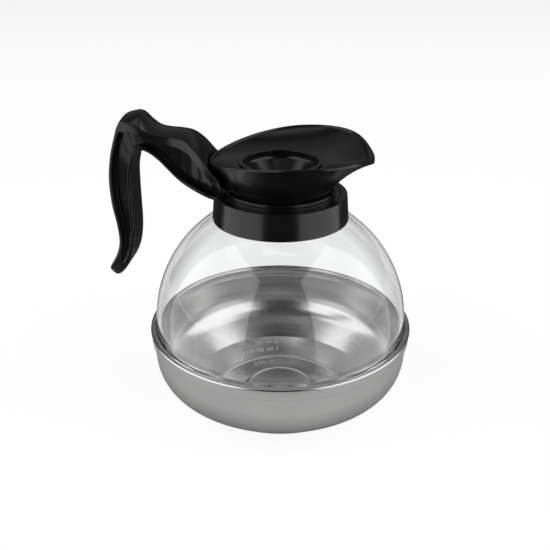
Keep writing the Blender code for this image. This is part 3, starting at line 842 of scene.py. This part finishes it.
def build_drip_cone():
    outer = THROAT_RADIUS - GAP
    inner = outer - DRIP_WALL
    flange = outer + DRIP_LIP
    spigot = DRIP_BORE + DRIP_WALL
    seat = THROAT_Z + 0.2
    corners = [(inner, LIP_TOP_Z, 0.55), (flange, LIP_TOP_Z, 0.5), (flange, seat, 0.2)]
    corners += [(outer, seat, 0.15), (outer, DRIP_KNEE_Z, 1.2), (spigot, DRIP_END_Z + 2.8, 1.0)]
    corners += [(spigot, DRIP_END_Z, 0.4), (DRIP_BORE, DRIP_END_Z, 0.4)]
    corners += [(DRIP_BORE, DRIP_END_Z + 3.6, 2.5), (inner, DRIP_KNEE_Z + 0.5, 3.0)]
    turned("throat_cone", rounded(corners), BLACK, "funnel", "drip_cone")


def build_funnel_seal():
    inner = WAIST_RADIUS - GROOVE_DEPTH + GAP
    outer = NECK_RADIUS - DOME_WALL - GAP
    low = GROOVE_LOW_Z + GAP
    high = GROOVE_HIGH_Z - GAP
    corners = [(outer, high, 0.9), (outer, low, 0.9), (inner, low, 0.2), (inner, high, 0.2)]
    turned("skirt_seal", rounded(corners), SILICONE, "funnel", "funnel_seal")


# ---------------------------------------------------------------- handle

# The handle's stations from the root to the tip: the under or inner point, the top or back
# point (distance from the axis, height), the half widths there, the crown of the top, the side
# pocket's start and end (parts of the thickness, from the inner side) and half the web's width.
STATIONS = [
    ((-31.0, 139.7), (-33.5, 153.2), 15.0, 20.0, 1.0, 0.16, 0.50, 8.8),
    ((-38.5, 139.4), (-40.8, 160.8), 14.0, 18.4, 1.5, 0.12, 0.60, 8.4),
    ((-46.0, 142.2), (-46.8, 168.4), 13.0, 16.2, 2.2, 0.10, 0.70, 7.2),
    ((-52.5, 145.6), (-52.4, 173.2), 12.2, 13.8, 2.8, 0.09, 0.76, 6.6),
    ((-58.2, 149.6), (-58.6, 174.8), 11.8, 12.4, 2.8, 0.09, 0.79, 6.4),
    ((-63.4, 154.8), (-64.6, 175.4), 11.7, 11.8, 2.6, 0.10, 0.78, 6.3),
    ((-69.4, 161.2), (-71.0, 176.4), 11.8, 12.0, 3.0, 0.13, 0.72, 6.3),
    ((-74.6, 165.4), (-75.8, 178.6), 12.0, 12.6, 5.0, 0.14, 0.64, 6.3),
    ((-78.6, 167.0), (-79.8, 180.9), 12.0, 13.4, 7.0, 0.14, 0.58, 6.3),
    ((-82.0, 166.2), (-85.2, 182.8), 12.0, 13.2, 4.4, 0.13, 0.68, 6.2),
    ((-84.4, 163.8), (-90.2, 183.4), 11.8, 12.4, 1.6, 0.13, 0.70, 6.0),
    ((-85.2, 161.6), (-92.9, 179.8), 11.6, 11.8, 0.8, 0.13, 0.86, 5.8),
    ((-85.6, 159.4), (-94.4, 175.8), 11.5, 11.5, 0.6, 0.13, 0.88, 5.6),
    ((-87.0, 152.2), (-98.2, 163.2), 11.2, 11.2, 0.6, 0.14, 0.87, 5.2),
    ((-87.4, 141.7), (-100.3, 149.2), 11.2, 11.2, 0.6, 0.15, 0.86, 5.2),
    ((-87.5, 129.2), (-100.0, 134.2), 11.2, 11.2, 0.6, 0.16, 0.85, 5.2),
    ((-87.6, 117.7), (-98.0, 120.7), 11.2, 11.2, 0.6, 0.18, 0.83, 6.2),
    ((-88.4, 108.4), (-97.4, 110.4), 11.0, 11.0, 0.6, 0.22, 0.80, 7.6),
    ((-90.2, 100.4), (-98.8, 103.4), 10.8, 10.8, 0.6, 0.26, 0.76, 9.3),
    ((-93.4, 93.6), (-101.6, 97.2), 10.4, 10.4, 0.5, 0.30, 0.70, 10.4),
    ((-97.6, 88.2), (-104.6, 92.4), 9.4, 9.4, 0.4, 0.30, 0.70, 9.4),
    ((-101.2, 85.7), (-105.8, 89.6), 7.6, 7.6, 0.3, 0.30, 0.70, 7.6),
    ((-103.6, 85.4), (-105.7, 87.4), 5.4, 5.4, 0.2, 0.30, 0.70, 5.4),
]


def glide(before, start, end, after, t):
    """A value on the smooth curve through four evenly spaced ones, between the middle two."""
    a = 2 * start
    b = (end - before) * t
    c = (2 * before - 5 * start + 4 * end - after) * t**2
    d = (3 * start - before - 3 * end + after) * t**3
    return (a + b + c + d) / 2


def fine_stations():
    """The stations with smooth ones between them. The pockets' numbers never overshoot."""
    flat = [[*inner, *outer, *rest] for inner, outer, *rest in STATIONS]
    made = []
    for i in range(len(flat) - 1):
        before, start, end, after = (flat[min(max(i + k, 0), len(flat) - 1)] for k in (-1, 0, 1, 2))
        for step in range(BETWEEN):
            t = step / BETWEEN
            ease = t * t * (3 - 2 * t)
            made.append([glide(before[k], start[k], end[k], after[k], t) for k in range(7)]
                        + [start[k] + ease * (end[k] - start[k]) for k in range(7, 10)])
    made.append(flat[-1])
    return made


def handle_section(station):
    """One cross-section: a flat inner face, side pockets between two lips, a crowned back."""
    ix, iz, ox, oz, inner_half, outer_half, crown, start, end, web = station
    thickness = math.dist((ix, iz), (ox, oz))
    corner = min(CORNER_ROUND, thickness / 3.5)

    def half(t):
        return inner_half + t * (outer_half - inner_half)

    flank = min(POCKET_FLANK / thickness, (end - start) / 3)
    side = [(0, 0, 0), (0, half(0), corner), (start * thickness, half(start), 0.35)]
    side += [((start + flank) * thickness, web, 0.7), ((end - flank) * thickness, web, 0.7)]
    side += [(end * thickness, half(end), 0.35), (thickness, half(1), corner * 0.8)]
    side += [(thickness + CROWN_SHARE * crown * (1 - share**2), half(1) * share, 0)
             for share in CROWN_PLACES]
    ring = [(along / thickness, across) for along, across in rounded(side, closed=False)]
    ring += [(along, -across) for along, across in ring[1:-1]][::-1]
    return [Vector((ix + t * (ox - ix), across, iz + t * (oz - iz))) for t, across in ring]


def room_needed(angle, height):
    """The radius that the hub ring and the funnel need at an angle and height."""
    needed = HUB_RADIUS + HUB_ROOM if height < HUB_TOP_Z + HUB_ROOM else 0
    if height < HUB_TOP_Z:
        return needed
    side = flare(angle, 0)
    for low, high in zip(side, side[1:]):
        if low[1] <= height <= high[1]:
            t = (height - low[1]) / (high[1] - low[1])
            needed = max(needed, low[0] + t * (high[0] - low[0]) + FUNNEL_ROOM)
    if height > side[-1][1]:
        needed = max(needed, side[-1][0] + FUNNEL_ROOM)
    return needed


def clear_of_neighbours(point):
    """The point, moved out of the room that the collar, hub ring and funnel need."""
    radius = math.hypot(point.x, point.y)
    if radius < 0.01:
        return point
    angle = math.atan2(point.y, point.x)
    collar = COLLAR_TOP_RADIUS + COLLAR_ROOM
    collar_top = COLLAR_TOP_Z + COLLAR_TOP_ROOM
    if point.z < collar_top and radius < collar:
        if collar_top - point.z < (collar - radius) * LIFT_LIMIT:
            point = Vector((point.x, point.y, collar_top))
        else:
            return Vector((point.x * collar / radius, point.y * collar / radius, point.z))
    needed = room_needed(angle, point.z)
    if radius < needed:
        return Vector((point.x * needed / radius, point.y * needed / radius, point.z))
    return point


def build_handle():
    rings = [handle_section(station) for station in fine_stations()]
    rings = [[clear_of_neighbours(point) for point in ring] for ring in rings]
    back = (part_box("handle")[0].x - AXIS.x) / MM
    for point in (point for ring in rings for point in ring):
        point.x = max(point.x, back)
    last = rings[-1]
    tip = sum(last, Vector()) / len(last)
    ahead = (tip - sum(rings[-4], Vector()) / len(rings[-4])).normalized()
    for share, reach in TIP_COPIES:
        rings.append([tip + (point - tip) * share + ahead * reach for point in last])
    finished("handle_moulding", skin(rings, False), BLACK, "root", "handle", sharp=50)


def plate_screws():
    """The screws keep the design's shapes and get a zinc finish."""
    for screw in SCREWS:
        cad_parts[screw].data.materials.clear()
        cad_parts[screw].data.materials.append(ZINC)


# ---------------------------------------------------------------- studio


def build_camera():
    camera = bpy.data.cameras.new("camera")
    camera.lens = LENS
    camera.sensor_width = 36
    camera.clip_start = 0.01
    view = bpy.data.objects.new("camera", camera)
    view.location = AXIS + CAMERA_FROM_AXIS
    view.rotation_euler = [math.radians(turn) for turn in CAMERA_TURN]
    bpy.context.collection.objects.link(view)
    bpy.context.scene.camera = view


def round_the_axis(angle, away, height):
    """A place in the studio, in metres."""
    return AXIS + Vector((math.cos(angle) * away, math.sin(angle) * away, height))


def soft_panel(name, place, target, size, brightness):
    """A flat soft light that faces the target, as bright as a surface of that radiance."""
    lamp = bpy.data.lights.new(name, "AREA")
    lamp.shape = "RECTANGLE"
    lamp.size, lamp.size_y = size
    lamp.energy = brightness * math.pi * size[0] * size[1]
    made = bpy.data.objects.new(name, lamp)
    made.location = place
    made.rotation_euler = (target - place).to_track_quat("-Z", "Y").to_euler()
    made.visible_camera = False
    bpy.context.collection.objects.link(made)


def build_lights():
    target = AXIS + Vector((0, 0, SIDE_PANEL_HEIGHT))
    for name, side in (("panel_left", -1), ("panel_right", 1)):
        angle = TOWARDS_CAMERA + side * SIDE_PANEL_TURN
        place = round_the_axis(angle, SIDE_PANEL_AWAY, SIDE_PANEL_HEIGHT)
        soft_panel(name, place, target, SIDE_PANEL_SIZE, SIDE_PANEL_BRIGHTNESS)
    soft_panel("panel_top", AXIS + TOP_PANEL_PLACE, AXIS, TOP_PANEL_SIZE, TOP_PANEL_BRIGHTNESS)
    soft_panel("panel_back", AXIS + BACK_PANEL_PLACE, AXIS, BACK_PANEL_SIZE, BACK_PANEL_BRIGHTNESS)


def build_world():
    """A bright backdrop for what the camera sees, also through the dome, in a dim room.

    A ray that goes through the dome after being mirrored sees less of the backdrop.
    """
    world = bpy.data.worlds.new("studio")
    n = Nodes(world, "Background", "World Output")
    n.set(Color=WHITE, Strength=ROOM_GREY)
    backdrop = n.add("Background", Color=WHITE, Strength=BACKDROP_GREY)
    path = n.add("LightPath")
    through, direct = path.outputs["Is Transmission Ray"], path.outputs["Is Camera Ray"]
    share = n.maths("MULTIPLY_ADD", n.mirrored(path), MIRRORED_BACKDROP_SHARE - 1, 1)
    n.show(n.maths("MULTIPLY_ADD", through, share, direct), n.shader, backdrop)
    bpy.context.scene.world = world
    bpy.context.scene.view_settings.view_transform = "Standard"


def disc(name, radius, height, finish):
    shape = bmesh.new()
    bmesh.ops.create_circle(shape, cap_ends=True, radius=radius, segments=DISC_STEPS)
    made = new_object(name, shape, (0, 0, height), finish)
    return made


def build_floor():
    """The floor that is seen, and a smaller lit sheet that the steel and the plastic reflect."""
    floor = disc("floor", FLOOR_REACH, FLOOR_Z, pale_floor("pale_floor", FLOOR_GREY, FLOOR_GLOW))
    floor.visible_glossy = False
    floor.visible_diffuse = False
    floor.visible_shadow = False
    # The lit sheet carries painted shade round the pot's foot
    lit = painted_shade_sheet("light_sheet", LIT_SHEET_GREY, LIT_SHEET_GLOW)
    sheet = disc("light_sheet", LIT_SHEET_REACH, LIT_SHEET_Z, lit)
    sheet.location.x = AXIS.x
    sheet.visible_camera = False
    sheet.visible_transmission = False
    sheet.visible_shadow = False


def build_black_card():
    """A black card behind the camera, which darkens the middle of what the steel reflects."""
    x, y = CARD_SIZE[0] / 2, CARD_SIZE[1] / 2
    shape = bmesh.new()
    corners = ((-x, -y, 0), (x, -y, 0), (x, y, 0), (-x, y, 0))
    shape.faces.new([shape.verts.new(corner) for corner in corners])
    place = round_the_axis(TOWARDS_CAMERA, CARD_AWAY, CARD_HEIGHT)
    card = new_object("black_card", shape, place, card_black())
    card.rotation_euler = (AXIS - place).to_track_quat("Z", "Y").to_euler()
    card.visible_camera = False
    card.visible_shadow = False


build_bowl()
build_level_marks()
build_floor_beads()
build_rim_gasket()
build_dome()
build_collar()
build_neck_seal()
build_seat_ring()
build_handle()
build_funnel()
build_drip_cone()
build_funnel_seal()
plate_screws()

build_camera()
build_lights()
build_world()
build_floor()
build_black_card()

bpy.context.view_layer.update()
